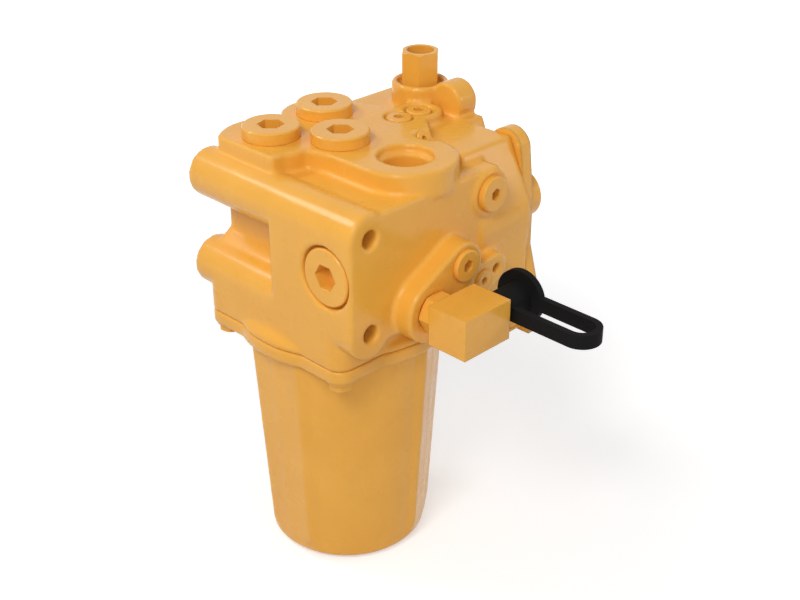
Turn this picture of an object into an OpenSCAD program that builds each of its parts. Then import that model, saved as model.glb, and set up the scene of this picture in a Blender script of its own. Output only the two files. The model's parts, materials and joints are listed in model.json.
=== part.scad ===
// Clutch control valve with a bolted-on filter bowl. All sizes are in millimetres.
// Every module is drawn about the bowl axis, with Z = 0 on the underside of the bowl flange.
// The placed() module then moves it so that the origin is the middle of the two mounting
// bolt holes, on the mounting face.

/* [Body casting] */
// Half width of the square base that the bowl bolts to
base_half = 60; // [59.5:0.5:62]
// Corner radius of the square base
base_corner = 10; // [9:0.5:11]
// Bowl axis to the mounting face
face_left = 69; // [68:0.5:72]
// Bowl axis to the right-hand face
face_right = 70.5; // [70:0.5:71.5]
// Bowl axis to the front face
face_front = 60; // [59.5:0.5:61]
// Bowl axis to the rear joint face
face_rear = 90; // [89:0.5:91]
// Height of the shoulder round the platform
shoulder_z = 105.5; // [104.5:0.5:107]
// Height of the platform that carries the top plugs
platform_z = 117.5; // [116.5:0.5:119]
// Radius of the round collar above the bowl
collar_r = 65.5; // [64.5:0.5:66]
// Height of the top of the round collar
collar_top = 17; // [15:0.5:19]
// Depth of the pocket in the front face
pocket_depth = 22; // [18:1:24]
// Right-hand end of the pocket in the front face
pocket_end = 3; // [-1:1:7]

/* [Mounting bolts] */
// Radius of the long bosses that the mounting bolts pass through
boss_r = 15.5; // [14.5:0.5:16]
// Diameter of the mounting bolt holes
mount_hole_d = 11; // [9:0.5:12]
// Height of the lower mounting bolt
mount_low_z = 34.2; // [34:0.2:35.4]
// Distance between the two mounting bolts
mount_spacing = 58.5; // [58:0.5:60]

/* [Top plugs and open port] */
// Radius of the platform lobe round the front left plug
lobe1_r = 31.5; // [30:0.5:33]
// Radius of the platform lobe round the rear left plug
lobe2_r = 27; // [25:0.5:28]
// Across position of the front left plug
plug1_x = -36; // [-37:0.5:-35]
// Depth position of the front left plug
plug1_y = -22; // [-22.5:0.5:-21]
// Across position of the rear left plug
plug2_x = -42; // [-43:0.5:-41]
// Depth position of the rear left plug
plug2_y = 26; // [25:0.5:27]
// Across position of the middle plug
plug3_x = -1; // [-2:0.5:0]
// Depth position of the middle plug
plug3_y = 1; // [0:0.5:2]
// Radius of the head of a large plug
plug_head_r = 17.4; // [16.8:0.2:18]
// Height of the head of a top plug
plug_head_h = 7.2; // [6:0.2:8]
// Radius of the screwed shank of a large plug
plug_shank_r = 13.4; // [13:0.1:13.6]
// Length of the screwed shank of a top plug
plug_shank_l = 17; // [15:0.5:18]
// Width across the flats of the socket in a large plug
plug_socket = 14.3; // [12:0.1:15]
// Across position of the open port
port_x = 41.5; // [41:0.5:42]
// Depth position of the open port
port_y = 12; // [11:0.5:13]
// Radius of the boss round the open port
port_boss_r = 30.7; // [29.7:0.2:31.5]
// Radius of the bore of the open port
port_r = 13.3; // [12.5:0.1:13.8]
// Radius of the spot face in the mouth of the open port
port_mouth_r = 16.4; // [15.8:0.2:17]
// Depth of the open port
port_depth = 22; // [20:1:23]

/* [Filter bowl] */
// Thickness of the bowl flange
flange_t = 8.5; // [7.5:0.5:9.5]
// Length of the bowl below its flange
bowl_l = 151; // [149:1:158]
// Outer radius of the bowl under its flange
bowl_top_r = 58.8; // [58.2:0.2:59.4]
// Outer radius of the bowl near its foot
bowl_foot_r = 50; // [49.5:0.5:52]
// Radius of the rounded edge of the foot
bowl_edge = 9; // [7:0.5:9.5]
// Wall of the bowl
bowl_wall = 6; // [5.5:0.5:6.5]
// Distance from the bowl axis to each flange bolt, along both sides
flange_bolt = 50; // [49.5:0.5:50.5]
// Thread diameter of the flange bolts
flange_bolt_d = 8; // [6:0.5:8.5]
// How far the three wrench ribs stand out at their edges
rib_out = 3; // [2:0.25:3.5]
// Half angle of each wrench rib
rib_half_angle = 19; // [16:1:21]

/* [Filter element] */
// Outer radius of the pleated medium
pleat_r = 40; // [37:0.5:40.5]
// Number of pleats
pleat_count = 40; // [30:2:46]
// Length of the element over its end caps
element_l = 136; // [130:1:138]
// Thickness of the element's end caps
cap_t = 4; // [3:0.5:5]
// Outer radius of the perforated centre tube
core_r = 24; // [22:0.5:26]

/* [Spool bore] */
// Across position of the spool bore
spool_x = 49.6; // [49:0.2:50]
// Height of the spool bore
spool_z = 67.6; // [67:0.2:68]
// Radius of the spool bore
spool_bore_r = 12; // [11:0.25:12.5]
// Length of the spool
spool_l = 46; // [42:1:48]
// Length of the load piston
piston_l = 22; // [18:1:24]
// Radius of the counterbore round the front spool plug
spool_face_r = 19; // [18.5:0.25:19.25]
// Depth of the counterbore round the front spool plug
spool_face_depth = 5.5; // [5:0.5:7]

/* [Rear cover] */
// Thickness of the rear cover
cover_t = 8; // [7:0.5:9]
// Thickness of the gasket behind the cover
gasket_t = 0.8; // [0.5:0.1:1]
// Thread diameter of the cover bolts
cover_bolt_d = 8; // [6:0.5:8.5]
// Radius of the round head of the spool end cap
end_cap_r = 15.8; // [15.2:0.2:16.4]
// Length of the round head of the spool end cap
end_cap_l = 10; // [8:0.5:12]

/* [Inlet tower] */
// Across position of the tower
tower_x = -25; // [-26:0.5:-24]
// Depth position of the tower
tower_y = 93; // [92:0.5:94]
// Radius of the tower
tower_r = 18.2; // [17.6:0.2:19]
// Height of the top of the tower
tower_z = 127; // [125:0.5:129]
// Width across the flats of the hexagon adapter
adapter_flats = 22.2; // [20:0.2:24]
// Height of the hexagon above the tower
adapter_h = 19; // [16:0.5:22]
// Radius of the bore of the hexagon adapter
adapter_bore_r = 8.6; // [7:0.2:9]

/* [Side ports and plugs] */
// Bowl axis to the face of the elbow boss
elbow_face = 84; // [83:0.5:85]
// Depth position of the elbow port
elbow_y = -8; // [-8.5:0.5:-7]
// Height of the elbow port
elbow_z = 39.8; // [39.4:0.2:40.2]
// Radius of the elbow boss
elbow_boss_r = 19.5; // [18.5:0.5:20]
// Depth position of the upper side plug
side_a_y = 18; // [17.5:0.5:18.5]
// Height of the upper side plug
side_a_z = 60; // [59.5:0.5:60.5]
// Bowl axis to the face of the small side pad
pad_face = 79.5; // [79:0.5:80.5]
// Depth position of the small side plug
side_b_y = 38.8; // [38.4:0.2:39.2]
// Height of the small side plug
side_b_z = 41; // [40.5:0.5:41.5]
// Depth position of the gallery hole in the small side pad
gallery_y = 51; // [50.5:0.5:52]
// Height of the gallery hole in the small side pad
gallery_z = 44.5; // [44:0.5:45.5]
// Depth position of the high side plug
side_c_y = 52.5; // [52:0.5:53]
// Height of the high side plug
side_c_z = 90.5; // [90:0.5:91]
// Head radius of the upper side plug
head_a_r = 9.8; // [9:0.2:10.6]
// Head radius of the small side plug
head_b_r = 6.4; // [6:0.2:7]
// Head radius of the high side plug
head_c_r = 11; // [10:0.25:11.5]

/* [Elbow and dust cap] */
// Width and height of the elbow block
elbow_w = 25; // [24:0.5:26]
// Length of the elbow block along the outlet
elbow_l = 37.2; // [36:0.2:38]
// Length of the elbow block along the inlet
elbow_run = 27.7; // [27:0.1:29]
// Width across the flats of the elbow's lock nut
elbow_flats = 22; // [20:0.5:23]
// Outer radius of the dust cap's barrel
dust_r = 9.6; // [9.2:0.2:10.2]
// Length of the dust cap's barrel
dust_l = 20; // [18:0.5:21]
// Radius of the dust cap's flange
dust_flange_r = 16.4; // [15:0.2:18]
// Wall of the dust cap's barrel
dust_wall = 2.2; // [1.8:0.1:2.6]
// Reach of the pull loop from the cap's axis
loop_reach = 63.5; // [56:0.5:68]
// Height of the pull loop's band
loop_h = 8.6; // [7:0.2:9.6]
// Thickness of the pull loop's band
loop_t = 4; // [3:0.2:4.4]

/* [Clearances] */
// Radial running clearance of the spool and the load piston
spool_gap = 0.03; // [0.02:0.01:0.06]
// Radial clearance of the dust cap on its nipple
cap_gap = 0.08; // [0.05:0.01:0.1]
// Radial clearance of screwed and plain fits that don't move
seat_gap = 0.15; // [0.1:0.05:0.25]
// Clearance between moving pieces that don't guide each other
free_gap = 0.4; // [0.3:0.05:0.6]

/* [Hidden] */
$fn = 64;
eps = 0.01;
cast_yellow = [0.90, 0.62, 0.21];
bright_steel = [0.72, 0.72, 0.74];
spring_steel = [0.45, 0.46, 0.50];
seal_black = [0.10, 0.10, 0.11];
cap_black = [0.05, 0.05, 0.055];
paper_white = [0.88, 0.84, 0.70];
mount_high_z = mount_low_z + mount_spacing;
mount_y = boss_r - face_front;
pocket_y = pocket_depth - face_front;
cover_y0 = face_rear + gasket_t;
cover_y1 = cover_y0 + cover_t;

module x_rod(r, x0, x1, y, z) { translate([x0, y, z]) rotate([0, 90, 0]) cylinder(r = r, h = x1 - x0); }
module y_rod(r, y0, y1, x, z) { translate([x, y1, z]) rotate([90, 0, 0]) cylinder(r = r, h = y1 - y0); }
module z_rod(r, z0, z1, x, y) { translate([x, y, z0]) cylinder(r = r, h = z1 - z0); }
// Outline in the Y-Z plane pushed along X
module along_x(x0, x1) { translate([x0, 0, 0]) rotate([90, 0, 90]) linear_extrude(x1 - x0) children(); }
// Outline in the X-Z plane pushed along Y
module along_y(y0, y1) { translate([0, y1, 0]) rotate([90, 0, 0]) linear_extrude(y1 - y0) children(); }
module block(x0, x1, y0, y1, z0, z1) { translate([x0, y0, z0]) cube([x1 - x0, y1 - y0, z1 - z0]); }
// Hexagonal bar about the Z axis
module hex_bar(flats, z0, z1) { translate([0, 0, z0]) cylinder(r = flats / sqrt(3), h = z1 - z0, $fn = 6); }
// Hexagonal bar with its outer corners turned off at one or both ends
module hex_head(flats, h, low = false) {
    corner = flats / sqrt(3);
    intersection() {
        hex_bar(flats, 0, h);
        union() {
            translate([0, 0, h - 1]) cylinder(r1 = corner, r2 = corner - 1.6, h = 1);
            translate([0, 0, low ? 1 : 0]) cylinder(r = corner, h = h - (low ? 2 : 1));
            if (low) cylinder(r1 = corner - 1.6, r2 = corner, h = 1);
        }
    }
}
// Ring of round section about the Z axis
module o_ring(mean_r, cord_r, z) {
    translate([0, 0, z]) rotate_extrude() translate([mean_r, 0]) circle(r = cord_r, $fn = 20);
}
// Screwed plug whose head stands on Z = 0, with a hexagonal socket
module socket_plug(head_r, head_h, shank_r, shank_l, flats, socket_depth) {
    difference() {
        union() {
            cylinder(r = head_r, h = head_h - 0.8);
            translate([0, 0, head_h - 0.8]) cylinder(r1 = head_r, r2 = head_r - 0.8, h = 0.8);
            translate([0, 0, -shank_l]) cylinder(r = shank_r, h = shank_l + eps);
        }
        hex_bar(flats, head_h - socket_depth, head_h + 1);
    }
}
// Hexagon bolt whose head stands on Z = 0
module hex_bolt(d, shank_l, head_h, flats) {
    hex_head(flats, head_h);
    translate([0, 0, -shank_l]) cylinder(r = d / 2, h = shank_l + eps);
}
// Coil spring about the Z axis, from Z = 0 to its length
module coil(mean_r, wire_r, length, turns) {
    steps = turns * 12;
    rise = (length - 2 * wire_r) / steps;
    points = [for (i = [0:steps], j = [0:5]) let (r = mean_r + wire_r * cos(60 * j))
        [r * cos(30 * i), r * sin(30 * i), wire_r + rise * i + wire_r * sin(60 * j)]];
    side_a = [for (i = [0:steps - 1], j = [0:5])
        [i * 6 + j, i * 6 + (j + 1) % 6, i * 6 + 6 + (j + 1) % 6]];
    side_b = [for (i = [0:steps - 1], j = [0:5])
        [i * 6 + j, i * 6 + 6 + (j + 1) % 6, i * 6 + 6 + j]];
    ends = [[5, 4, 3, 2, 1, 0], [for (j = [0:5]) steps * 6 + j]];
    polyhedron(points, concat(side_a, side_b, ends), convexity = 10);
}
module placed() {
    translate([face_left, -mount_y, -(mount_low_z + mount_high_z) / 2]) children();
}

// Square with rounded corners, about the bowl axis
module base_outline() {
    square([2 * base_half, 2 * (base_half - base_corner)], center = true);
    square([2 * (base_half - base_corner), 2 * base_half], center = true);
    for (x = [-1, 1], y = [-1, 1])
        translate([x, y] * (base_half - base_corner)) circle(r = base_corner);
}

// Platform: one lobe for each plug, the port boss and the pad of the two rear plugs
lobe_front = -45.3;
notch_x = -8;
pad_x = -4.9;
pad_y1 = 53.6;
pad_y2 = 70.9;
pad_r = 14.5;
module platform_outline() {
    intersection() {
        union() {
            translate([plug1_x, plug1_y]) circle(r = lobe1_r);
            translate([plug2_x, plug2_y]) circle(r = lobe2_r);
            translate([port_x, port_y]) circle(r = port_boss_r);
            translate([pad_x, pad_y2]) circle(r = pad_r);
            polygon([
                [plug1_x - 14, lobe_front], [notch_x, lobe_front], [notch_x, -27], [-3, -22],
                [10, port_y - port_boss_r], [port_x, port_y - port_boss_r],
                [port_x + 20, port_y + 12], [53, 31.5], [35.3, 44.6], [22.3, 52.3],
                [pad_x + pad_r, 63], [pad_x + pad_r, pad_y2], [pad_x - pad_r, pad_y2],
                [-21, 59], [-47, 52], [plug2_x - 8, plug2_y], [plug1_x - 14, plug1_y]
            ]);
        }
        translate([-face_left, lobe_front]) square([200, 200]);
    }
}

housing_top = 111;
body_left = 9 - face_left;
// Section of the rear housing in the X-Z plane
module housing_outline() {
    polygon([
        [body_left, 30], [body_left, housing_top], [54, housing_top], [face_right + 1.2, 72],
        [face_right + 2.2, 64.5], [face_right, 43], [face_right, 30]
    ]);
}

// Two circles and the band between their outer tangents
function flanks(c1, r1, c2, r2) =
    let (d = norm(c2 - c1), mid = atan2(c2[1] - c1[1], c2[0] - c1[0]), half = acos((r1 - r2) / d))
    [for (s = [[c1, r1, 1], [c2, r2, 1], [c2, r2, -1], [c1, r1, -1]])
        s[0] + s[1] * [cos(mid + s[2] * half), sin(mid + s[2] * half)]];
module tangent_pair(c1, r1, c2, r2) {
    translate(c1) circle(r = r1);
    translate(c2) circle(r = r2);
    polygon(flanks(c1, r1, c2, r2));
}

// Depths and lengths shared by the holes and the pieces that go into them
seal_step = 2.2;
plug_seal_r = plug_shank_r + 2.5;
plug_bore_l = plug_shank_l + 2;
spool_seat_y = spool_face_depth - face_front;
spool_thread_l = 16;
spool_start_y = spool_seat_y + spool_thread_l + 8;
spool_rear_y = spool_start_y + spool_l;
spring_bore_r = spool_bore_r - 2.4;
spring_bore_l = 11;
piston_y0 = face_rear - 8 - piston_l;
small_bore_r = 4.4;
side_thread_r = 6.8;
side_thread_l = 12;
spot_depth = 1;
elbow_spot_r = 13.2;
elbow_thread_r = 8;
elbow_thread_l = 14;
elbow_seal_r = 10.6;
angle_tilt = 48;
angle_at = [24.7, 44.2, platform_z - 4];
angle_head_r = 4.9;
adapter_seat = tower_z - 5;
adapter_thread_r = 10;
adapter_thread_l = 16;
adapter_spot_r = adapter_flats / sqrt(3) + 1.8;
bolt_l = 24;
washer_t = 1.6;
chamber_r = 50;
chamber_top = flange_t + 16;
outlet_r = 8;
spigot_r = 15;
spigot_top = chamber_top - 4;
bypass_x = -28;
bypass_r = 9;
bypass_l = 26;
pad_plug_r = 7.9;
top_plugs = [[plug1_x, plug1_y], [plug2_x, plug2_y], [plug3_x, plug3_y]];
pad_plug_at = [[pad_x, pad_y1], [pad_x, pad_y2]];
cover_bolts = [[50, 102], [54.7, 31], [66, -10], [39.5, 41]];

module front_half() {
    // Square base, then the deep core behind the pocket
    translate([0, 0, flange_t]) linear_extrude(mount_low_z - flange_t) base_outline();
    block(-base_half, face_right, pocket_y, base_half, mount_low_z - 8, shoulder_z);
    // Panel that carries the front spool plug
    block(pocket_end - pocket_depth, face_right, -face_front, pocket_y + 1, mount_low_z, mount_high_z);
    block(-base_half, face_right, mount_y, pocket_y + 1, mount_high_z, shoulder_z);
    // Round collar above the bowl
    rotate_extrude() polygon([
        [0, flange_t], [collar_r, flange_t], [collar_r, collar_top - 5], [collar_r - 9, collar_top + 4],
        [0, collar_top + 4]
    ]);
}

// Bosses of the mounting bolts, and the slope from the lower one to the floor of the pocket
module long_bosses() {
    for (z = [mount_low_z, mount_high_z]) x_rod(boss_r, -face_left, face_right, mount_y, z);
    ramp_r = boss_r - 1;
    ramp_top = mount_low_z + 22.5;
    along_x(-base_half, pocket_end) polygon([
        [pocket_y + 1, mount_low_z], [mount_y, mount_low_z],
        [mount_y + ramp_r * cos(130), mount_low_z + ramp_r * sin(130)],
        [pocket_y, ramp_top], [pocket_y + 1, ramp_top]
    ]);
}

module rear_half() {
    along_y(45, face_rear) housing_outline();
    block(body_left, face_right, 40, face_rear, 20, 42);
    block(body_left, face_right, 67, face_rear, -14, 21);
    // Rear extension beside the cover
    along_y(face_rear - 1, 104)
        polygon([[body_left, -14], [body_left, housing_top], [19, housing_top], [30, 86], [30, -14]]);
    // Tower of the hexagon adapter, with its chamfered rim and side boss
    translate([tower_x, tower_y, 0]) rotate_extrude() polygon([
        [0, 60], [tower_r, 60], [tower_r, tower_z - 1.5], [tower_r - 1.5, tower_z], [0, tower_z]
    ]);
    y_rod(13, tower_y - 4, 105, tower_x + 25, 118);
    translate([0, 0, shoulder_z - 4]) linear_extrude(platform_z - shoulder_z + 4) platform_outline();
    // Boss under the angled plug
    translate(angle_at) rotate([0, angle_tilt, 0]) translate([0, 0, -16]) cylinder(r = 7.4, h = 16);
}

module side_bosses() {
    along_x(face_right - 12, elbow_face)
        tangent_pair([elbow_y, elbow_z], elbow_boss_r, [side_a_y, side_a_z], elbow_boss_r - 5.5);
    along_x(face_right - 12, pad_face) {
        tangent_pair([side_b_y, side_b_z], 11.5, [gallery_y, gallery_z], 9.5);
        tangent_pair([elbow_y + 8, elbow_z], elbow_boss_r - 4, [side_b_y, side_b_z], 11.5);
    }
    x_rod(14.5, 40, face_right + 2, side_c_y, side_c_z);
}

// Spot face and thread of one plug in the right-hand face
module side_hole(face, y, z, head_r, thread_r) {
    x_rod(head_r + 0.9, face - spot_depth, face + 12, y, z);
    x_rod(thread_r + seat_gap, face - spot_depth - side_thread_l - 2, face, y, z);
}

// Machined holes of the casting
module body_cuts() {
    for (z = [mount_low_z, mount_high_z])
        x_rod(mount_hole_d / 2, -face_left - 1, face_right + 1, mount_y, z);
    for (p = top_plugs) {
        z_rod(plug_shank_r + seat_gap, platform_z - plug_bore_l, platform_z + 1, p[0], p[1]);
        z_rod(plug_seal_r, platform_z - seal_step, platform_z + 1, p[0], p[1]);
    }
    z_rod(port_mouth_r, platform_z - 5, platform_z + 1, port_x, port_y);
    z_rod(port_r, platform_z - port_depth, platform_z, port_x, port_y);
    for (p = pad_plug_at) {
        z_rod(pad_plug_r + 1.4, platform_z - 3, platform_z + 1, p[0], p[1]);
        z_rod(pad_plug_r - 2 + seat_gap, platform_z - 15, platform_z, p[0], p[1]);
    }
    // Spool bore with the thread and counterbore of its front plug
    y_rod(spool_face_r, -face_front - 1, spool_seat_y, spool_x, spool_z);
    y_rod(plug_seal_r, spool_seat_y - eps, spool_seat_y + seal_step, spool_x, spool_z);
    y_rod(plug_shank_r + seat_gap, spool_seat_y, spool_seat_y + spool_thread_l + 1, spool_x, spool_z);
    y_rod(spool_bore_r, spool_seat_y + spool_thread_l, face_rear + 1, spool_x, spool_z);
    // Drillings from the spool bore to the open port, the elbow and the filter outlet
    z_rod(4, spool_z, platform_z - port_depth + 1, port_x + 3, port_y);
    z_rod(3, elbow_z, spool_z, 57, elbow_y);
    x_rod(4, 52, elbow_face - elbow_thread_l, elbow_y, elbow_z);
    x_rod(4, plug3_x, spool_x, plug3_y, spool_z);
    // Filter chamber with its outlet and the bore of the bypass valve
    difference() {
        z_rod(chamber_r, flange_t - 1, chamber_top, 0, 0);
        z_rod(spigot_r, flange_t, chamber_top + 1, 0, 0);
        z_rod(spigot_r + 3.5, spigot_top, chamber_top + 1, 0, 0);
    }
    z_rod(outlet_r, flange_t - 1, platform_z - plug_bore_l + 1, 0, 0);
    z_rod(bypass_r, chamber_top - eps, chamber_top + bypass_l, bypass_x, 0);
    x_rod(4, bypass_x, 0, 0, chamber_top + bypass_l - 7);
    for (x = [-1, 1], y = [-1, 1])
        z_rod(flange_bolt_d / 2 + seat_gap, flange_t - 1, bolt_l, x * flange_bolt, y * flange_bolt);
    for (p = cover_bolts)
        y_rod(cover_bolt_d / 2 + seat_gap, face_rear - bolt_l + cover_t, face_rear + 1, p[0], p[1]);
    // Side ports
    x_rod(elbow_spot_r, elbow_face - spot_depth, elbow_face + 1, elbow_y, elbow_z);
    x_rod(elbow_seal_r, elbow_face - spot_depth - seal_step, elbow_face, elbow_y, elbow_z);
    x_rod(elbow_thread_r + seat_gap, elbow_face - elbow_thread_l - 2, elbow_face, elbow_y, elbow_z);
    side_hole(elbow_face, side_a_y, side_a_z, head_a_r, side_thread_r);
    side_hole(face_right + 2, side_c_y, side_c_z, head_c_r, side_thread_r);
    side_hole(pad_face, side_b_y, side_b_z, head_b_r, small_bore_r);
    x_rod(3, pad_face - 16, pad_face + 1, gallery_y, gallery_z);
    // Angled plug beside the platform
    translate(angle_at) rotate([0, angle_tilt, 0]) {
        cylinder(r = 7, h = 30);
        translate([0, 0, -12]) cylinder(r = angle_head_r - 1 + seat_gap, h = 13);
    }
    // Thread of the hexagon adapter in the tower
    z_rod(adapter_spot_r, adapter_seat, tower_z + 1, tower_x, tower_y);
    z_rod(adapter_thread_r + 2.4, adapter_seat - seal_step, tower_z, tower_x, tower_y);
    z_rod(adapter_thread_r + seat_gap, adapter_seat - adapter_thread_l - 20, tower_z, tower_x, tower_y);
}

module valve_body() {
    color(cast_yellow) difference() {
        union() {
            // The pocket ends in a wall rounded about an upright axis
            difference() {
                union() {
                    front_half();
                    rear_half();
                    side_bosses();
                }
                z_rod(pocket_depth, mount_low_z, mount_high_z, pocket_end - pocket_depth, -face_front);
            }
            long_bosses();
        }
        body_cuts();
    }
}

// Outline of the rear cover in the X-Z plane
module cover_outline(clear) {
    difference() {
        union() {
            polygon([
                [31, 20], [31, 88], [38, 106], [62, 106], [66, 71],
                [66, 40], [75, 8], [75, -18], [57, -18], [50, 14]
            ]);
            translate(cover_bolts[0]) circle(r = 12.5);
            translate(cover_bolts[1]) circle(r = 11);
            translate(cover_bolts[3]) circle(r = 8.4);
        }
        for (p = cover_bolts) translate(p) circle(r = cover_bolt_d / 2 + seat_gap);
        translate([spool_x, spool_z]) circle(r = clear);
    }
}
end_shank_r = spool_bore_r - 1;
module rear_cover() {
    color(cast_yellow) difference() {
        along_y(cover_y0, cover_y1) cover_outline(end_shank_r + seat_gap);
        y_rod(end_shank_r + 2.5, cover_y1 - seal_step, cover_y1 + 1, spool_x, spool_z);
    }
}
module cover_gasket() { color(seal_black) along_y(face_rear, cover_y0) cover_outline(spool_bore_r + 1); }
module cover_bolt_set() {
    color(cast_yellow) for (p = cover_bolts)
        translate([p[0], cover_y1, p[1]]) rotate([-90, 0, 0]) hex_bolt(cover_bolt_d, bolt_l - 3, 5.3, 13);
}

// Cap whose shank closes the rear end of the spool bore
end_shank_l = cover_y1 - piston_y0 - piston_l - free_gap;
module spool_end_cap() {
    color(cast_yellow) translate([spool_x, cover_y1, spool_z]) rotate([-90, 0, 0]) difference() {
        union() {
            cylinder(r = end_cap_r, h = end_cap_l - 1);
            translate([0, 0, end_cap_l - 1]) cylinder(r1 = end_cap_r, r2 = end_cap_r - 1, h = 1);
            translate([0, 0, -end_shank_l]) cylinder(r = end_shank_r, h = end_shank_l + eps);
        }
        hex_bar(12, end_cap_l - 6, end_cap_l + 1);
    }
}
module end_cap_seal() {
    color(seal_black) translate([spool_x, cover_y1, spool_z]) rotate([-90, 0, 0])
        o_ring(end_shank_r + 1.25, 1, -1.1);
}

module front_plug() {
    color(cast_yellow) translate([spool_x, spool_seat_y, spool_z]) rotate([90, 0, 0]) {
        socket_plug(plug_head_r, spool_face_depth - 0.5, plug_shank_r, spool_thread_l, plug_socket, 9);
        // Nose that the spool rests against
        translate([0, 0, -spool_thread_l - 8 + free_gap]) cylinder(r = 6, h = 9);
    }
}
module front_plug_seal() {
    color(seal_black) translate([spool_x, spool_seat_y, spool_z]) rotate([90, 0, 0])
        o_ring(plug_shank_r + 1.25, 1, -1.1);
}

// Spool with two grooves, a cross hole in each and a blind bore for its spring
land = spool_l / 7;
module spool() {
    color(bright_steel) translate([spool_x, spool_start_y, spool_z]) rotate([-90, 0, 0]) difference() {
        cylinder(r = spool_bore_r - spool_gap, h = spool_l);
        for (i = [0:1]) translate([0, 0, land * (1 + 2 * i)]) difference() {
            cylinder(r = spool_bore_r + 1, h = land);
            translate([0, 0, -1]) cylinder(r = spool_bore_r - 3.5, h = land + 2);
        }
        translate([0, 0, spool_l - spring_bore_l]) cylinder(r = spring_bore_r, h = spring_bore_l + 1);
        translate([0, 0, land]) cylinder(r = 2.5, h = spool_l);
        for (i = [0:1]) translate([0, 0, land * (1.5 + 2 * i)]) rotate([90, 0, 0])
            cylinder(r = 1.8, h = 30, center = true);
    }
}
module load_piston() {
    color(bright_steel) translate([spool_x, piston_y0, spool_z]) rotate([-90, 0, 0]) difference() {
        cylinder(r = spool_bore_r - spool_gap, h = piston_l);
        translate([0, 0, -1]) cylinder(r = spring_bore_r, h = 9);
        translate([0, 0, piston_l - 5]) difference() {
            cylinder(r = spool_bore_r + 1, h = 2);
            translate([0, 0, -1]) cylinder(r = spool_bore_r - 2, h = 4);
        }
        translate([0, 0, -1]) cylinder(r = 1.2, h = piston_l + 2);
    }
}
spring_y0 = spool_rear_y - spring_bore_l + 0.1;
spring_y1 = piston_y0 + 7.9;
module spool_spring() {
    color(spring_steel) translate([spool_x, spring_y0, spool_z]) rotate([-90, 0, 0])
        coil(spring_bore_r - 2, 1.3, spring_y1 - spring_y0, 8);
}

// Plugs of the platform and their seals
module top_plug_set() {
    color(cast_yellow) for (p = top_plugs) translate([p[0], p[1], platform_z]) rotate([0, 0, 45])
        socket_plug(plug_head_r, plug_head_h, plug_shank_r, plug_shank_l, plug_socket, 11);
}
module top_seal_set() {
    color(seal_black) for (p = top_plugs) translate([p[0], p[1], platform_z])
        o_ring(plug_shank_r + 1.25, 1, -1.1);
}
module pad_plug_set() {
    color(cast_yellow) for (p = pad_plug_at) translate([p[0], p[1], platform_z - 3])
        socket_plug(pad_plug_r, 3, pad_plug_r - 2, 11, 6, 5);
}
module angled_plug() {
    color(cast_yellow) translate(angle_at) rotate([0, angle_tilt, 0])
        socket_plug(angle_head_r, 1.2, angle_head_r - 1, 11, 3, 4);
}
module upper_side_plug() {
    color(cast_yellow) translate([elbow_face - spot_depth, side_a_y, side_a_z]) rotate([0, 90, 0])
        socket_plug(head_a_r, 3.2, side_thread_r, side_thread_l, 6.8, 6);
}
module high_side_plug() {
    color(cast_yellow) translate([face_right + 2 - spot_depth, side_c_y, side_c_z]) rotate([0, 90, 0])
        socket_plug(head_c_r, 4.2, side_thread_r, side_thread_l, 6.8, 6);
}
module small_side_plug() {
    color(cast_yellow) translate([pad_face - spot_depth, side_b_y, side_b_z]) rotate([0, 90, 0])
        socket_plug(head_b_r, 2.2, small_bore_r - seat_gap, side_thread_l, 4.4, 5);
}

module inlet_adapter() {
    color(cast_yellow) translate([tower_x, tower_y, adapter_seat]) difference() {
        union() {
            rotate([0, 0, 10]) hex_head(adapter_flats, adapter_h + 5);
            translate([0, 0, -adapter_thread_l]) cylinder(r = adapter_thread_r, h = adapter_thread_l + eps);
        }
        translate([0, 0, adapter_h - 9]) cylinder(r = adapter_bore_r, h = 20);
        translate([0, 0, -adapter_thread_l - 1]) cylinder(r = adapter_bore_r - 3, h = 60);
    }
}
module adapter_seal() {
    color(seal_black) translate([tower_x, tower_y, adapter_seat]) o_ring(adapter_thread_r + 1.2, 1, -1.1);
}

// Elbow with its outlet on the rear side of the block
nut_x0 = elbow_face - spot_depth;
nut_h = 9.2;
elbow_x = nut_x0 + nut_h + 0.2;
elbow_y0 = -21.5;
elbow_y1 = elbow_y0 + elbow_l;
out_x = elbow_x + elbow_run / 2;
nipple_l = 22;
nipple_r = dust_r - dust_wall - cap_gap;
nipple_hex_l = 3.8;
nipple_thread_r = 6;
module elbow_block() {
    color(cast_yellow) difference() {
        union() {
            block(elbow_x, elbow_x + elbow_run, elbow_y0, elbow_y1, elbow_z - elbow_w / 2, elbow_z + elbow_w / 2);
            x_rod(elbow_thread_r, elbow_face - elbow_thread_l, elbow_x + eps, elbow_y, elbow_z);
        }
        x_rod(4.5, elbow_face - elbow_thread_l - 1, out_x, elbow_y, elbow_z);
        y_rod(4.5, elbow_y, elbow_y1 + 1, out_x, elbow_z);
        y_rod(nipple_thread_r + seat_gap, elbow_y1 - 11, elbow_y1 + 1, out_x, elbow_z);
    }
}
module elbow_nut() {
    color(cast_yellow) translate([nut_x0, elbow_y, elbow_z]) rotate([0, 90, 0]) difference() {
        rotate([0, 0, 30]) hex_head(elbow_flats, nut_h, true);
        translate([0, 0, -1]) cylinder(r = elbow_thread_r + seat_gap, h = nut_h + 2);
    }
}
module elbow_seal() {
    color(seal_black) translate([nut_x0, elbow_y, elbow_z]) rotate([0, 90, 0])
        o_ring(elbow_thread_r + 1.3, 1, -1.1);
}
module test_nipple() {
    color(bright_steel) translate([out_x, elbow_y1, elbow_z]) rotate([-90, 0, 0]) difference() {
        union() {
            hex_bar(19, 0, nipple_hex_l);
            cylinder(r = nipple_r, h = nipple_l);
            translate([0, 0, -10]) cylinder(r = nipple_thread_r, h = 11);
        }
        translate([0, 0, -11]) cylinder(r = 3, h = nipple_l + 20);
    }
}

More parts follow.
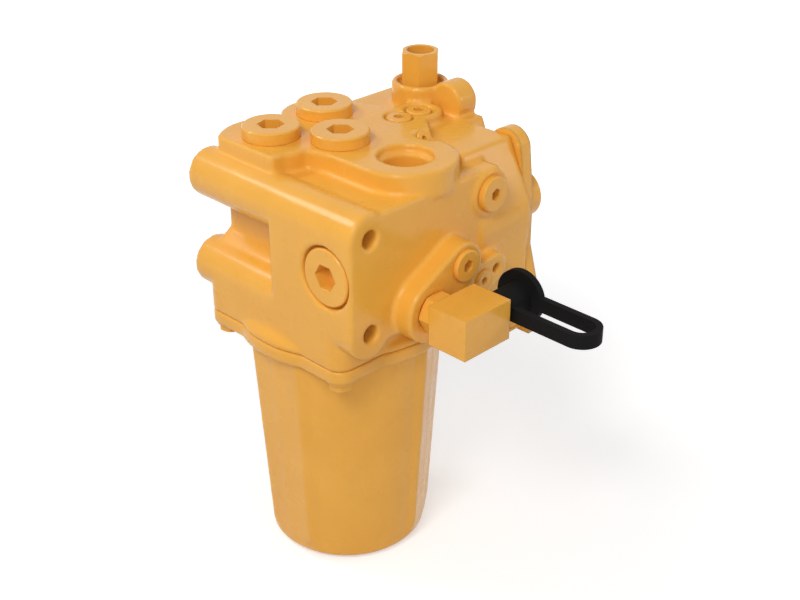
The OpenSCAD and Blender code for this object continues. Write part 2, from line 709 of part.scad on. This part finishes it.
// Moulded cap with a flat pull loop in one piece
dust_y0 = elbow_y1 + nipple_hex_l + free_gap;
dust_y1 = dust_y0 + dust_l;
dust_end = dust_y1 + 4;
loop_mid = (dust_y0 + dust_end) / 2;
loop_r = (dust_end - dust_y0) / 2;
module loop_shape(r) {
    bend_x = loop_reach - loop_r;
    translate([bend_x, 0]) circle(r = r);
    translate([0, -r]) square([bend_x, 2 * r]);
}
module dust_cap() {
    color(cap_black) translate([out_x, 0, elbow_z]) difference() {
        union() {
            y_rod(dust_r, dust_y0, dust_end - 1, 0, 0);
            y_rod(dust_flange_r, dust_y1, dust_end, 0, 0);
            translate([0, loop_mid, -loop_h / 2]) linear_extrude(loop_h) difference() {
                loop_shape(loop_r);
                loop_shape(loop_r - loop_t);
            }
        }
        y_rod(dust_r - dust_wall, dust_y0 - 1, dust_y1 + 1, 0, 0);
    }
}

// Outside of the bowl below its flange, as far as its rounded foot
foot_z = -bowl_l;
ring_r = bowl_top_r + rib_out;
module rib_outline() {
    side = rib_half_angle;
    foot = side + 8;
    low = bowl_top_r - 0.3;
    polygon([
        ring_r * [cos(side), sin(side)], low * [cos(foot), sin(foot)], (low - 4) * [cos(foot), sin(foot)],
        (low - 4) * [cos(foot), -sin(foot)], low * [cos(foot), -sin(foot)], ring_r * [cos(side), -sin(side)]
    ]);
}
module bowl_shell() {
    translate([0, 0, foot_z]) cylinder(r1 = bowl_foot_r, r2 = bowl_top_r, h = bowl_l + 1);
    for (a = [-90, 30, 150]) rotate([0, 0, a]) mirror([0, 0, 1])
        linear_extrude(bowl_l, scale = bowl_foot_r / bowl_top_r) rib_outline();
}
module bowl_limit() {
    wide = bowl_foot_r + 1.6;
    rotate_extrude() {
        translate([0, foot_z]) square([wide - bowl_edge, bowl_l + 2]);
        translate([wide - bowl_edge, foot_z + bowl_edge]) circle(r = bowl_edge);
        polygon([
            [1, foot_z + bowl_edge], [wide, foot_z + bowl_edge], [ring_r + 4, foot_z + 60],
            [ring_r + 4, 2], [1, 2]
        ]);
    }
}
module bowl_cavity() {
    translate([0, 0, foot_z + bowl_wall + 0.5])
        cylinder(r1 = bowl_foot_r - bowl_wall, r2 = bowl_top_r - bowl_wall, h = bowl_l);
    translate([0, 0, -eps]) cylinder(r = bowl_top_r - bowl_wall - 0.3, h = flange_t + 1);
}
module filter_bowl() {
    color(cast_yellow) difference() {
        union() {
            linear_extrude(flange_t) base_outline();
            intersection() {
                cylinder(r = collar_r, h = flange_t);
                translate([-100, -100, -1]) cube([200, 166, 30]);
            }
            intersection() {
                bowl_shell();
                bowl_limit();
            }
        }
        bowl_cavity();
        translate([0, 0, flange_t - 2.6]) difference() {
            cylinder(r = 58, h = 5);
            translate([0, 0, -1]) cylinder(r = 54.6, h = 8);
        }
        for (x = [-1, 1], y = [-1, 1])
            z_rod(flange_bolt_d / 2 + seat_gap, -1, flange_t + 1, x * flange_bolt, y * flange_bolt);
    }
}
module bowl_seal() { color(seal_black) o_ring(56.3, 1.25, flange_t - 1.3); }
module bowl_bolt_set() {
    color(cast_yellow) for (x = [-1, 1], y = [-1, 1])
        translate([x * flange_bolt, y * flange_bolt, -washer_t]) rotate([180, 0, 15])
            hex_bolt(flange_bolt_d, bolt_l - 4, 5.3, 13);
}
module bowl_washer_set() {
    color(cast_yellow) for (x = [-1, 1], y = [-1, 1])
        translate([x * flange_bolt, y * flange_bolt, -washer_t]) difference() {
            cylinder(r = 8.6, h = washer_t);
            translate([0, 0, -1]) cylinder(r = flange_bolt_d / 2 + seat_gap, h = washer_t + 2);
        }
}

// Filter element
element_top = spigot_top;
element_foot = element_top - element_l;
pleat_root = core_r + 1.3;
function star(r1, r2) = [for (i = [0:2 * pleat_count - 1])
    let (r = i % 2 == 0 ? r1 : r2, a = 180 * i / pleat_count) [r * cos(a), r * sin(a)]];
module element_media() {
    color(paper_white) translate([0, 0, element_foot + cap_t]) linear_extrude(element_l - 2 * cap_t)
        difference() {
            polygon(star(pleat_r, pleat_root));
            polygon(star(pleat_r - 2.6, pleat_root - 1));
        }
}
module element_core() {
    color(bright_steel) translate([0, 0, element_foot + cap_t]) difference() {
        cylinder(r = core_r, h = element_l - 2 * cap_t);
        translate([0, 0, -1]) cylinder(r = core_r - 1.2, h = element_l);
        for (i = [0:4], j = [0:5]) rotate([0, 0, 60 * j + 30 * (i % 2)])
            translate([core_r - 6, 0, 16 + 22 * i]) rotate([0, 90, 0]) cylinder(r = 3.5, h = 10);
    }
}
module element_top_cap() {
    color(bright_steel) translate([0, 0, element_top - cap_t]) difference() {
        cylinder(r = pleat_r + 1.5, h = cap_t);
        translate([0, 0, -1]) cylinder(r = spigot_r + 2, h = cap_t + 2);
    }
}
module element_bottom_cap() {
    color(bright_steel) translate([0, 0, element_foot]) difference() {
        cylinder(r = pleat_r + 1.5, h = cap_t);
        translate([0, 0, -1]) difference() {
            cylinder(r = 18, h = 2.5);
            translate([0, 0, -1]) cylinder(r = 11, h = 5);
        }
    }
}
module element_seal() { color(seal_black) o_ring(spigot_r + 1, 0.85, element_top - cap_t / 2); }
spring_low = foot_z + bowl_wall + 0.6;
module element_spring() {
    color(spring_steel) translate([0, 0, spring_low]) coil(14.5, 1.5, element_foot + 1.4 - spring_low, 4);
}

// Bypass valve in the roof of the filter chamber
seat_t = 4.5;
poppet_z = chamber_top + seat_t + 0.3;
module bypass_seat() {
    color(bright_steel) translate([bypass_x, 0, chamber_top]) difference() {
        cylinder(r = bypass_r - 0.02, h = seat_t);
        translate([0, 0, -1]) cylinder(r = 5.5, h = seat_t + 2);
    }
}
module bypass_poppet() {
    color(bright_steel) translate([bypass_x, 0, poppet_z]) {
        cylinder(r = 7.6, h = 2.5);
        cylinder(r = 3, h = 12);
        translate([0, 0, -3]) cylinder(r1 = 3, r2 = 5, h = 3 + eps);
    }
}
module bypass_spring() {
    color(spring_steel) translate([bypass_x, 0, poppet_z + 2.6])
        coil(5.6, 0.9, chamber_top + bypass_l - poppet_z - 2.7, 5);
}

placed() valve_body();
placed() rear_cover();
placed() cover_gasket();
placed() cover_bolt_set();  // cover_bolts
placed() spool_end_cap();
placed() end_cap_seal();
placed() front_plug();
placed() front_plug_seal();
placed() spool();
placed() load_piston();
placed() spool_spring();
placed() top_plug_set();  // top_plugs
placed() top_seal_set();  // top_plug_seals
placed() pad_plug_set();  // pad_plugs
placed() angled_plug();
placed() upper_side_plug();
placed() high_side_plug();
placed() small_side_plug();
placed() inlet_adapter();
placed() adapter_seal();
placed() elbow_block();
placed() elbow_nut();
placed() elbow_seal();
placed() test_nipple();
placed() dust_cap();
placed() filter_bowl();
placed() bowl_seal();
placed() bowl_bolt_set();  // bowl_bolts
placed() bowl_washer_set();  // bowl_washers
placed() element_media();
placed() element_core();
placed() element_top_cap();
placed() element_bottom_cap();
placed() element_seal();
placed() element_spring();
placed() bypass_seat();
placed() bypass_poppet();
placed() bypass_spring();
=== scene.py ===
import json
import math

import bmesh
import bpy
from mathutils import Matrix, Vector


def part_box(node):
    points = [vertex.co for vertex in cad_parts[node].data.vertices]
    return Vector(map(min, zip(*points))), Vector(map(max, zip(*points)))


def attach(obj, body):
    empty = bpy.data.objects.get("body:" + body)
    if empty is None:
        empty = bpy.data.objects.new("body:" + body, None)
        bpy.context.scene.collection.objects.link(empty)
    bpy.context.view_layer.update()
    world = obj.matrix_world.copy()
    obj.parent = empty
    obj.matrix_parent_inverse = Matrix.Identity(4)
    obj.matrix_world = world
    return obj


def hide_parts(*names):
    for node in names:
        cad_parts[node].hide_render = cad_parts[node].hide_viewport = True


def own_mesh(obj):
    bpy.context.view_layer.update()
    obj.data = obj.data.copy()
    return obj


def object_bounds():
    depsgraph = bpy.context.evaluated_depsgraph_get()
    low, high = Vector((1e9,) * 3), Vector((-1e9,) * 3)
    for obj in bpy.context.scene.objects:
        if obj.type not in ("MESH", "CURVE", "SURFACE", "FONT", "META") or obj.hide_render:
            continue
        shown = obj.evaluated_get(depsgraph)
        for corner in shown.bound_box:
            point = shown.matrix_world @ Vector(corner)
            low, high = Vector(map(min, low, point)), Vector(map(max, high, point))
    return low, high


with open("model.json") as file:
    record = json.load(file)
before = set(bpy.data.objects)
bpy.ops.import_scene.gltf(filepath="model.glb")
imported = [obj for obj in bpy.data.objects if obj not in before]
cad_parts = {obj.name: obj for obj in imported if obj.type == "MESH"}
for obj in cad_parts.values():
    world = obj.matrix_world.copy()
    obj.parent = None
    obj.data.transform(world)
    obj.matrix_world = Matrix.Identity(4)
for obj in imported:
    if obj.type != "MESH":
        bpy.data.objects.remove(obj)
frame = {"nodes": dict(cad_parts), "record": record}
nodes = frame["nodes"]
cadLow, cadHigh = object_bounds()
print("frame loaded:", len(nodes), "nodes")

# the photograph's camera, found from the edges of the casting
cameraSettings = {
    "azimuth": 44.65, "elevation": 28.36, "distance": 0.830,
    "focalPixels": 1328.94, "imageWidth": 800, "imageHeight": 600,
    "sensorWidth": 36, "nearest": 0.02, "farthest": 20,
    "bowlAxisPixel": (344.42, 317.59),
    # the bowl axis at the underside of its flange, in this frame
    "bowlAxisPoint": (0.069, 0.0445, -0.06345),
}


def placeCamera(settings):
    az = math.radians(settings["azimuth"])
    el = math.radians(settings["elevation"])
    ahead = Vector((-math.sin(az) * math.cos(el), math.cos(az) * math.cos(el), -math.sin(el)))
    right = Vector((math.cos(az), math.sin(az), 0))
    up = right.cross(ahead)
    perPixel = settings["distance"] / settings["focalPixels"]
    across = (settings["bowlAxisPixel"][0] - settings["imageWidth"] / 2) * perPixel
    down = (settings["bowlAxisPixel"][1] - settings["imageHeight"] / 2) * perPixel
    place = Vector(settings["bowlAxisPoint"]) - (ahead * settings["distance"] + right * across - up * down)
    data = bpy.data.cameras.new("photoCamera")
    data.sensor_fit = "HORIZONTAL"
    data.sensor_width = settings["sensorWidth"]
    data.lens = settings["focalPixels"] * settings["sensorWidth"] / settings["imageWidth"]
    data.clip_start = settings["nearest"]
    data.clip_end = settings["farthest"]
    camera = bpy.data.objects.new("photoCamera", data)
    bpy.context.scene.collection.objects.link(camera)
    turn = Matrix((right, up, -ahead)).transposed().to_4x4()
    camera.matrix_world = Matrix.Translation(place) @ turn
    bpy.context.scene.camera = camera


placeCamera(cameraSettings)
print("camera placed")


# levels of a noise between which colours and roughness change
noiseSettings = {"start": 0.35, "stop": 0.65}


# small helpers that lay out a material's nodes
def newMaterial(name):
    material = bpy.data.materials.new(name)
    material.use_nodes = True
    tree = material.node_tree
    return material, tree, tree.nodes["Principled BSDF"]


def addNode(tree, kind, values=None):
    node = tree.nodes.new(kind)
    for name, value in (values or {}).items():
        if name in node.inputs:
            node.inputs[name].default_value = value
        else:
            setattr(node, name, value)
    return node


def objectNoise(tree, scale, detail):
    place = addNode(tree, "ShaderNodeTexCoord")
    noise = addNode(tree, "ShaderNodeTexNoise", {"Scale": scale, "Detail": detail})
    tree.links.new(place.outputs["Object"], noise.inputs["Vector"])
    return noise


def spread(tree, noise, low, high):
    scaled = addNode(tree, "ShaderNodeMapRange", {
        "From Min": noiseSettings["start"], "From Max": noiseSettings["stop"],
        "To Min": low, "To Max": high})
    tree.links.new(noise.outputs["Fac"], scaled.inputs["Value"])
    return scaled


def blendColours(tree, noise, first, second):
    ramp = addNode(tree, "ShaderNodeValToRGB")
    lower, upper = ramp.color_ramp.elements
    lower.position = noiseSettings["start"]
    lower.color = (*first, 1)
    upper.position = noiseSettings["stop"]
    upper.color = (*second, 1)
    tree.links.new(noise.outputs["Fac"], ramp.inputs["Fac"])
    return ramp


# a finish's uneven colour and uneven shine
def colourAndSheen(tree, shader, tint, sheen):
    tree.links.new(tint.outputs["Color"], shader.inputs["Base Color"])
    tree.links.new(sheen.outputs["Result"], shader.inputs["Roughness"])


# an edge that shades as a round one, with the surface's grain on it
def grainAndEdge(tree, shader, edge, grainScale, grainHeight, strength):
    edges = addNode(tree, "ShaderNodeBevel", {"samples": 6, "Radius": edge})
    grain = objectNoise(tree, grainScale, 4)
    bump = addNode(tree, "ShaderNodeBump", {"Strength": strength, "Distance": grainHeight})
    tree.links.new(grain.outputs["Fac"], bump.inputs["Height"])
    tree.links.new(edges.outputs["Normal"], bump.inputs["Normal"])
    tree.links.new(bump.outputs["Normal"], shader.inputs["Normal"])
    return edges


paintSettings = {
    "light": (0.86, 0.425, 0.060), "dark": (0.82, 0.395, 0.052), "driftScale": 22,
    "roughLow": 0.24, "roughHigh": 0.34, "sheenScale": 60,
    "specular": 0.16, "coat": 0.28, "coatRough": 0.10, "grainStrength": 0.35,
    "cast": {"name": "castYellowPaint", "edge": 0.0030, "grainScale": 420, "grainHeight": 0.00022},
    "steel": {"name": "steelYellowPaint", "edge": 0.0008, "grainScale": 900, "grainHeight": 0.00005},
}


# yellow machine paint, with the grain of the casting or the smoothness of turned steel under it
def makePaint(settings, under):
    material, tree, shader = newMaterial(under["name"])
    drift = objectNoise(tree, settings["driftScale"], 2)
    patches = objectNoise(tree, settings["sheenScale"], 3)
    tint = blendColours(tree, drift, settings["dark"], settings["light"])
    sheen = spread(tree, patches, settings["roughLow"], settings["roughHigh"])
    colourAndSheen(tree, shader, tint, sheen)
    shader.inputs["Specular IOR Level"].default_value = settings["specular"]
    shader.inputs["Coat Weight"].default_value = settings["coat"]
    shader.inputs["Coat Roughness"].default_value = settings["coatRough"]
    edges = grainAndEdge(tree, shader, under["edge"], under["grainScale"], under["grainHeight"],
                         settings["grainStrength"])
    tree.links.new(edges.outputs["Normal"], shader.inputs["Coat Normal"])
    return material


castPaint = makePaint(paintSettings, paintSettings["cast"])
steelPaint = makePaint(paintSettings, paintSettings["steel"])


steelSettings = {
    "darkShare": 0.86, "roughLow": 0.8, "roughHigh": 1.25,
    "ground": {"name": "groundSteel", "colour": (0.60, 0.60, 0.61), "rough": 0.26, "lineScale": 220},
    "spring": {"name": "springWire", "colour": (0.24, 0.25, 0.28), "rough": 0.34, "lineScale": 160},
}


def makeSteel(settings, kind):
    material, tree, shader = newMaterial(kind["name"])
    shader.inputs["Metallic"].default_value = 1.0
    noise = objectNoise(tree, kind["lineScale"], 2)
    darker = tuple(settings["darkShare"] * c for c in kind["colour"])
    tint = blendColours(tree, noise, darker, kind["colour"])
    sheen = spread(tree, noise, kind["rough"] * settings["roughLow"], kind["rough"] * settings["roughHigh"])
    colourAndSheen(tree, shader, tint, sheen)
    return material


groundSteel = makeSteel(steelSettings, steelSettings["ground"])
springSteel = makeSteel(steelSettings, steelSettings["spring"])


rubberSettings = {
    "darkShare": 0.8, "driftScale": 40, "roughSpan": 0.06, "specular": 0.05,
    "edge": 0.0006, "grainStrength": 0.4,
    "cap": {"name": "capRubber", "colour": (0.011, 0.011, 0.011), "rough": 0.66,
            "grainScale": 900, "grainHeight": 0.00008},
    "seal": {"name": "sealRubber", "colour": (0.02, 0.02, 0.021), "rough": 0.42,
             "grainScale": 1200, "grainHeight": 0.00003},
}


def makeRubber(settings, kind):
    material, tree, shader = newMaterial(kind["name"])
    noise = objectNoise(tree, settings["driftScale"], 3)
    darker = tuple(settings["darkShare"] * c for c in kind["colour"])
    tint = blendColours(tree, noise, darker, kind["colour"])
    sheen = spread(tree, noise, kind["rough"] - settings["roughSpan"], kind["rough"] + settings["roughSpan"])
    colourAndSheen(tree, shader, tint, sheen)
    shader.inputs["Specular IOR Level"].default_value = settings["specular"]
    grainAndEdge(tree, shader, settings["edge"], kind["grainScale"], kind["grainHeight"],
                 settings["grainStrength"])
    return material


capRubber = makeRubber(rubberSettings, rubberSettings["cap"])
sealRubber = makeRubber(rubberSettings, rubberSettings["seal"])


paperSettings = {
    "dark": (0.56, 0.47, 0.29), "light": (0.68, 0.60, 0.40), "rough": 0.85,
    "fibreScale": 900, "fibreStretch": (1.0, 1.0, 0.15), "fibreStrength": 0.5, "fibreHeight": 0.0001,
}


# filter paper: fine fibres that run up and down
def makePaper(settings):
    material, tree, shader = newMaterial("filterPaper")
    place = addNode(tree, "ShaderNodeTexCoord")
    stretch = addNode(tree, "ShaderNodeMapping", {"Scale": settings["fibreStretch"]})
    tree.links.new(place.outputs["Object"], stretch.inputs["Vector"])
    fibres = addNode(tree, "ShaderNodeTexNoise", {"Scale": settings["fibreScale"], "Detail": 4})
    tree.links.new(stretch.outputs["Vector"], fibres.inputs["Vector"])
    tint = blendColours(tree, fibres, settings["dark"], settings["light"])
    tree.links.new(tint.outputs["Color"], shader.inputs["Base Color"])
    shader.inputs["Roughness"].default_value = settings["rough"]
    bump = addNode(tree, "ShaderNodeBump", {
        "Strength": settings["fibreStrength"], "Distance": settings["fibreHeight"]})
    tree.links.new(fibres.outputs["Fac"], bump.inputs["Height"])
    tree.links.new(bump.outputs["Normal"], shader.inputs["Normal"])
    return material


# the valve was painted once it was put together, so the gasket's edge is yellow too
finishes = {
    "cast_paint": castPaint, "bowl_paint": castPaint, "steel_paint": steelPaint,
    "ground_steel": groundSteel, "spring_steel": springSteel, "seal": sealRubber,
    "gasket": castPaint, "cap_rubber": capRubber, "filter_paper": makePaper(paperSettings),
}
print("materials made")


# every node takes its finish by its slot
def dressNodes(slots):
    for name, obj in nodes.items():
        finish = finishes[slots[name]]
        if not obj.material_slots:
            obj.data.materials.append(finish)
        for slot in obj.material_slots:
            slot.material = finish


slotOf = {part["node"]: part["material_slot"] for part in frame["record"]["subparts"]}
dressNodes(slotOf)
print("nodes dressed")


copySettings = {"mergeDistance": 0.000002}


# merged copy of a node's mesh, and of one side of a plane where one is given
def copyNode(name, newName, cutAt=None, cutNormal=None):
    mesh = nodes[name].data.copy()
    mesh.name = newName
    built = bmesh.new()
    built.from_mesh(mesh)
    bmesh.ops.remove_doubles(built, verts=built.verts, dist=copySettings["mergeDistance"])
    if cutAt is not None:
        parts = built.verts[:] + built.edges[:] + built.faces[:]
        cut = bmesh.ops.bisect_plane(built, geom=parts, plane_co=cutAt, plane_no=cutNormal,
                                     clear_outer=True)
        rims = [piece for piece in cut["geom_cut"] if isinstance(piece, bmesh.types.BMEdge)]
        bmesh.ops.holes_fill(built, edges=rims, sides=0)
        bmesh.ops.recalc_face_normals(built, faces=built.faces)
    built.to_mesh(mesh)
    built.free()
    piece = bpy.data.objects.new(newName, mesh)
    bpy.context.scene.collection.objects.link(piece)
    return piece


# travels of the pieces that press on the springs
springSettings = {"spoolTravel": 0.006, "pistonTravel": 0.008, "poppetTravel": 0.004}


# the spool spring is pressed from both ends; it is cut at its middle coil into a front half and a rear half
def makeSprings(settings):
    low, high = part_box("spool_spring")
    middle = (low + high) / 2
    halves = (
        ("spoolSpringFront", (0, 1, 0), "spool_slide", settings["spoolTravel"]),
        ("spoolSpringRear", (0, -1, 0), "load_piston_slide", settings["pistonTravel"]),
    )
    for name, outward, joint, travel in halves:
        spring = copyNode("spool_spring", name, middle, outward)
        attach(spring, "housing")
        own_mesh(spring)
        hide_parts("spool_spring")

    low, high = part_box("bypass_spring")
    spring = copyNode("bypass_spring", "bypassSpring")
    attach(spring, "housing")
    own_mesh(spring)
    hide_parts("bypass_spring")


makeSprings(springSettings)
print("springs made")


# the casting and the bowl get the round edges of cast iron: a fine even mesh is smoothed, then thinned
castSettings = {
    "valve_body": {"newName": "roundedCasting", "cell": 0.0010, "passes": 7, "triangles": 183000},
    "filter_bowl": {"newName": "roundedBowl", "cell": 0.0010, "passes": 5, "triangles": 150000},
}
# smoothing narrows the holes a little, so the bore that the spool slides in is cut again at its true size
boreSettings = {"radius": 0.012, "segments": 128, "beforeSpool": 0.010, "pastPiston": 0.014}


def applyModifier(piece, kind, values):
    modifier = piece.modifiers.new(kind.title(), kind)
    for name, value in values.items():
        setattr(modifier, name, value)
    with bpy.context.temp_override(object=piece, active_object=piece, selected_objects=[piece]):
        bpy.ops.object.modifier_apply(modifier=modifier.name)


def cutSpoolBore(piece, settings):
    spoolLow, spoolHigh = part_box("spool")
    start = spoolLow.y - settings["beforeSpool"]
    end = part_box("load_piston")[1].y + settings["pastPiston"]
    axis = (spoolLow + spoolHigh) / 2
    middle = Vector((axis.x, (start + end) / 2, axis.z))
    built = bmesh.new()
    bmesh.ops.create_cone(built, cap_ends=True, segments=settings["segments"],
                          radius1=settings["radius"], radius2=settings["radius"], depth=end - start,
                          matrix=Matrix.Translation(middle) @ Matrix.Rotation(math.radians(90), 4, "X"))
    mesh = bpy.data.meshes.new("boreCutter")
    built.to_mesh(mesh)
    built.free()
    cutter = bpy.data.objects.new("boreCutter", mesh)
    bpy.context.scene.collection.objects.link(cutter)
    applyModifier(piece, "BOOLEAN", {"operation": "DIFFERENCE", "solver": "MANIFOLD", "object": cutter})
    bpy.data.objects.remove(cutter)
    bpy.data.meshes.remove(mesh)


def roundCasting(name, settings):
    piece = copyNode(name, settings["newName"])
    applyModifier(piece, "REMESH", {"mode": "VOXEL", "voxel_size": settings["cell"]})
    applyModifier(piece, "SMOOTH", {"factor": 0.5, "iterations": settings["passes"]})
    applyModifier(piece, "TRIANGULATE", {})
    before = len(piece.data.polygons)
    applyModifier(piece, "DECIMATE", {"ratio": settings["triangles"] / before})
    if name == "valve_body":
        cutSpoolBore(piece, boreSettings)
    piece.data.polygons.foreach_set("use_smooth", [True] * len(piece.data.polygons))
    print(name, "rounded:", before, "triangles, then", len(piece.data.polygons), "faces")
    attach(piece, "housing")
    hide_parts(name)


for name, settings in castSettings.items():
    roundCasting(name, settings)


# floor, backdrop and lamps
studio = {
    "white": (1, 1, 1, 1), "worldLight": 0.37,
    "floorSize": 30.0, "floorTone": 0.72, "floorRough": 0.9, "floorSpecular": 0.1, "floorGap": 0.0005,
    # the floor's glow near the part, where the shadow falls, and far from it
    "glowNear": 0.46, "glowFar": 1.0, "fadeStart": 0.35, "fadeEnd": 0.95,
    # place, watts and width of each lamp; the last two light the left side and the rear
    "lamps": {
        "key": ((0.48, -0.88, 1.00), 9.0, 0.45),
        "eye": ((0.80, -0.64, 0.52), 1.6, 0.25),
        "leftLine": ((-0.62, -0.37, 0.80), 2.6, 0.30),
        "rearLine": ((0.96, 0.81, 0.36), 1.5, 0.30),
    },
}


# 1 where the background is seen straight, in a reflection or through something clear
def seenDirectly(tree):
    path = addNode(tree, "ShaderNodeLightPath")
    total = path.outputs["Is Camera Ray"]
    for name in ("Is Glossy Ray", "Is Transmission Ray"):
        either = addNode(tree, "ShaderNodeMath", {"operation": "MAXIMUM"})
        tree.links.new(total, either.inputs[0])
        tree.links.new(path.outputs[name], either.inputs[1])
        total = either.outputs[0]
    return total


def makeWorld(settings):
    bpy.context.scene.view_settings.view_transform = "Standard"
    world = bpy.data.worlds.new("studioWorld")
    bpy.context.scene.world = world
    world.use_nodes = True
    tree = world.node_tree
    tree.nodes.clear()
    ambient = addNode(tree, "ShaderNodeBackground",
                      {"Color": settings["white"], "Strength": settings["worldLight"]})
    seenWhite = addNode(tree, "ShaderNodeBackground", {"Color": settings["white"], "Strength": 1.0})
    mixed = addNode(tree, "ShaderNodeMixShader")
    output = addNode(tree, "ShaderNodeOutputWorld")
    tree.links.new(seenDirectly(tree), mixed.inputs["Fac"])
    tree.links.new(ambient.outputs[0], mixed.inputs[1])
    tree.links.new(seenWhite.outputs[0], mixed.inputs[2])
    tree.links.new(mixed.outputs[0], output.inputs["Surface"])


# pale floor, with a white glow that only the eye sees, so that the shadow stays
def makeFloorPaint(settings):
    material, tree, shader = newMaterial("paleFloor")
    shader.inputs["Base Color"].default_value = (*[settings["floorTone"]] * 3, 1)
    shader.inputs["Roughness"].default_value = settings["floorRough"]
    shader.inputs["Specular IOR Level"].default_value = settings["floorSpecular"]
    glow = addNode(tree, "ShaderNodeEmission", {"Color": settings["white"]})
    level = addNode(tree, "ShaderNodeMath", {"operation": "MULTIPLY"})
    spot = addNode(tree, "ShaderNodeTexCoord")
    away = addNode(tree, "ShaderNodeVectorMath", {"operation": "LENGTH"})
    tree.links.new(spot.outputs["Object"], away.inputs[0])
    fade = addNode(tree, "ShaderNodeMapRange", {
        "From Min": settings["fadeStart"], "From Max": settings["fadeEnd"],
        "To Min": settings["glowNear"], "To Max": settings["glowFar"]})
    tree.links.new(away.outputs["Value"], fade.inputs["Value"])
    tree.links.new(fade.outputs["Result"], level.inputs[1])
    tree.links.new(seenDirectly(tree), level.inputs[0])
    tree.links.new(level.outputs[0], glow.inputs["Strength"])
    summed = addNode(tree, "ShaderNodeAddShader")
    tree.links.new(shader.outputs[0], summed.inputs[0])
    tree.links.new(glow.outputs[0], summed.inputs[1])
    tree.links.new(summed.outputs[0], tree.nodes["Material Output"].inputs["Surface"])
    return material


def makeFloor(settings):
    mesh = bpy.data.meshes.new("studioFloor")
    built = bmesh.new()
    bmesh.ops.create_grid(built, x_segments=1, y_segments=1, size=settings["floorSize"] / 2)
    bmesh.ops.translate(built, verts=built.verts, vec=(0, 0, cadLow[2] - settings["floorGap"]))
    built.to_mesh(mesh)
    built.free()
    floor = bpy.data.objects.new("studioFloor", mesh)
    bpy.context.scene.collection.objects.link(floor)
    floor.data.materials.append(makeFloorPaint(settings))


def makeLamps(settings):
    middle = (cadLow + cadHigh) / 2
    for name, (place, watts, width) in settings["lamps"].items():
        data = bpy.data.lights.new(name + "Lamp", "AREA")
        data.shape = "SQUARE"
        data.size = width
        data.energy = watts
        lamp = bpy.data.objects.new(name + "Lamp", data)
        bpy.context.scene.collection.objects.link(lamp)
        lamp.location = place
        lamp.rotation_euler = (middle - Vector(place)).to_track_quat("-Z", "Y").to_euler()


makeWorld(studio)
makeFloor(studio)
makeLamps(studio)
print("studio made")
